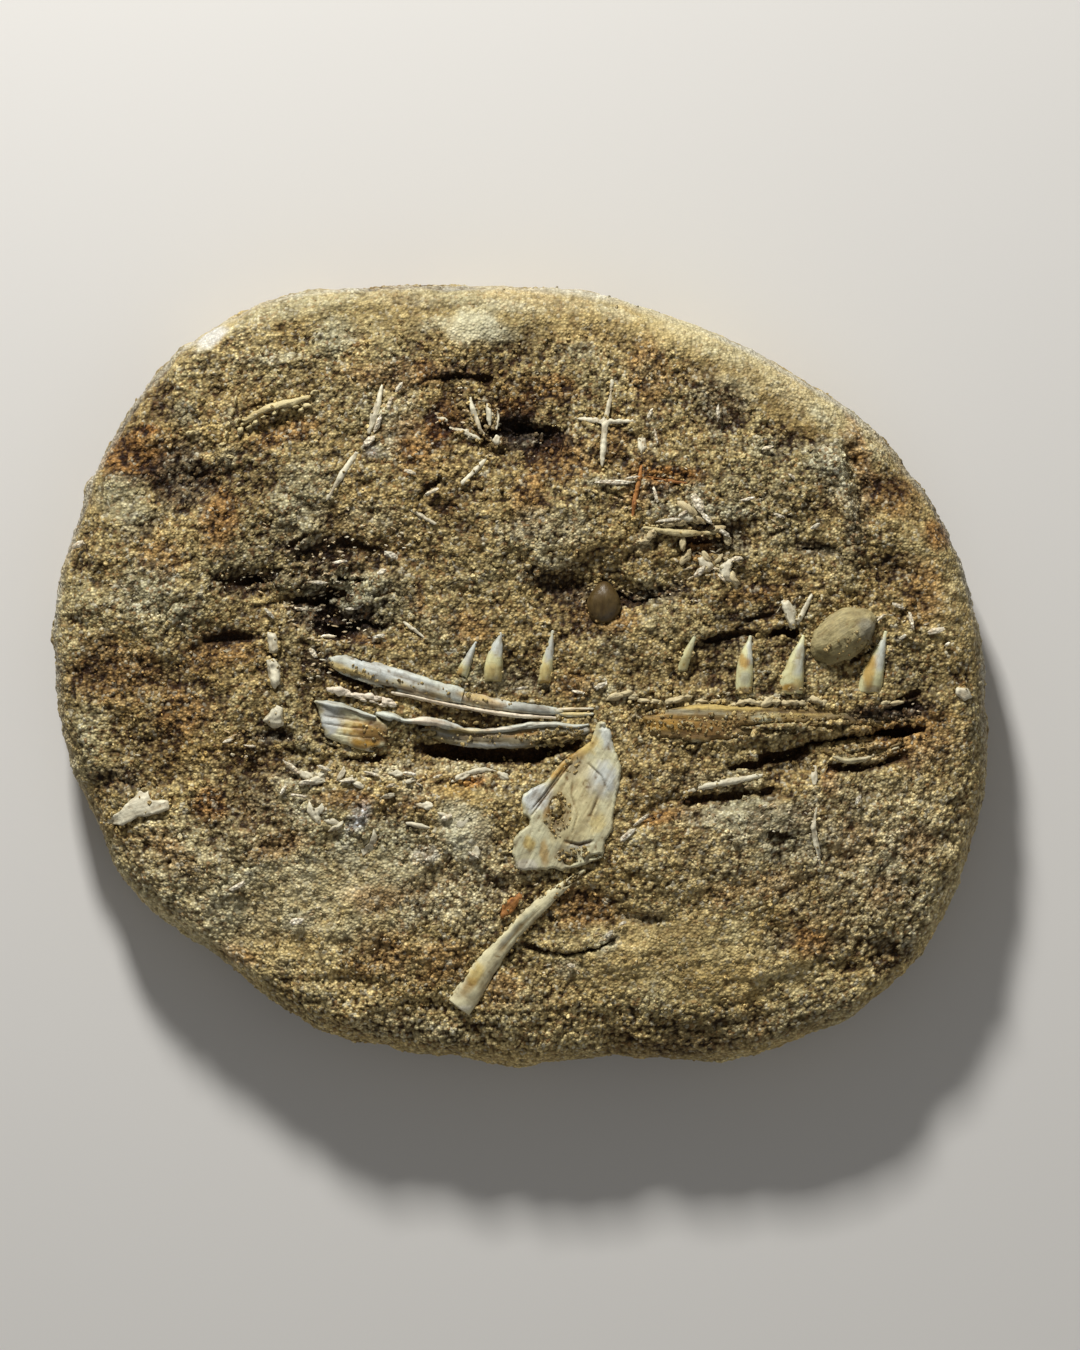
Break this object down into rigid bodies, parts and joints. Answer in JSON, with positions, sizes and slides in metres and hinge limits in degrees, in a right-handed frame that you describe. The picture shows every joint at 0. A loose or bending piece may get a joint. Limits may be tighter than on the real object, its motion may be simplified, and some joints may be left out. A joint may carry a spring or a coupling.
{
  "type": "fossil fish jaw on a matrix slab",
  "caption": "Long toothed fossil fish jaw and scattered bones, set in the domed face of a rounded slab of cemented phosphate sand with a flat back.",
  "frame": {"origin": "middle of the flat back, under the middle of the slab's bounding box", "axes": "+X to the right along the jaw and +Y up the face as it is looked at, +Z out of the fossil face"},
  "size_m": [0.24, 0.2003, 0.0335],
  "materials": {
    "sand_rock": "cemented phosphate sand, rough grains about 1 mm, tan with rust and cream stains",
    "jaw_bone": "fossil bone, blue-grey and cream with orange-brown stains, fine lengthwise grain, satin",
    "brown_bone": "fossil bone, brown and olive, layered, matte",
    "enamel": "tooth enamel, cream root to blue-grey tip, glossy",
    "pale_bone": "fossil bone, cream to white, chalky",
    "ochre_bone": "crusted bone, yellow ochre, chalky",
    "rust_bone": "iron-stained bone, rust brown, matte",
    "pebble": "smooth pebble, sandy brown, satin",
    "dark_pebble": "smooth pebble, dark olive brown, waxy"
  },
  "bodies": {
    "root": {"matrix": "sand_rock", "upper_jaw_bone": "jaw_bone", "lower_jaw_bone": "jaw_bone", "plate_bone": "jaw_bone", "jaw_front_bone": "brown_bone", "jaw_edge_splinter": "brown_bone", "tooth_1": "enamel", "tooth_2": "enamel", "tooth_3": "enamel", "tooth_4": "enamel", "tooth_5": "enamel", "tooth_6": "enamel", "tooth_7": "enamel", "blade_bone": "pale_bone", "crossed_ribs": "pale_bone", "crust_sliver": "pale_bone", "rib_lower": "pale_bone", "rib_leaf": "pale_bone", "fin_ray_1": "pale_bone", "fin_ray_2": "pale_bone", "fin_ray_3": "pale_bone", "fin_ray_4": "pale_bone", "fin_ray_5": "pale_bone", "ray_hub": "pale_bone", "ray_splinter": "pale_bone", "white_bead": "pale_bone", "pale_flake_1": "pale_bone", "pale_flake_2": "pale_bone", "pale_flake_3": "pale_bone", "fork_crust": "pale_bone", "fork_sliver": "pale_bone", "branched_flake": "pale_bone", "left_bone_top": "pale_bone", "left_bone_middle": "pale_bone", "left_bone_low": "pale_bone", "star_flake": "pale_bone", "star_chip": "pale_bone", "arrow_chip": "pale_bone", "arc_flake": "pale_bone", "pink_sliver": "pale_bone", "right_splinter": "pale_bone", "upright_chip": "pale_bone", "upright_vein": "pale_bone", "edge_chip": "pale_bone", "thin_rib": "pale_bone", "middle_splinter": "pale_bone", "yellow_ridge": "ochre_bone", "yellow_band": "ochre_bone", "jaw_crust_left": "ochre_bone", "jaw_crust_right": "ochre_bone", "rust_rib": "rust_bone", "rust_branch": "rust_bone", "blade_chip": "rust_bone", "oval_pebble": "pebble", "brown_pebble": "dark_pebble"}
  },
  "joints": []
}
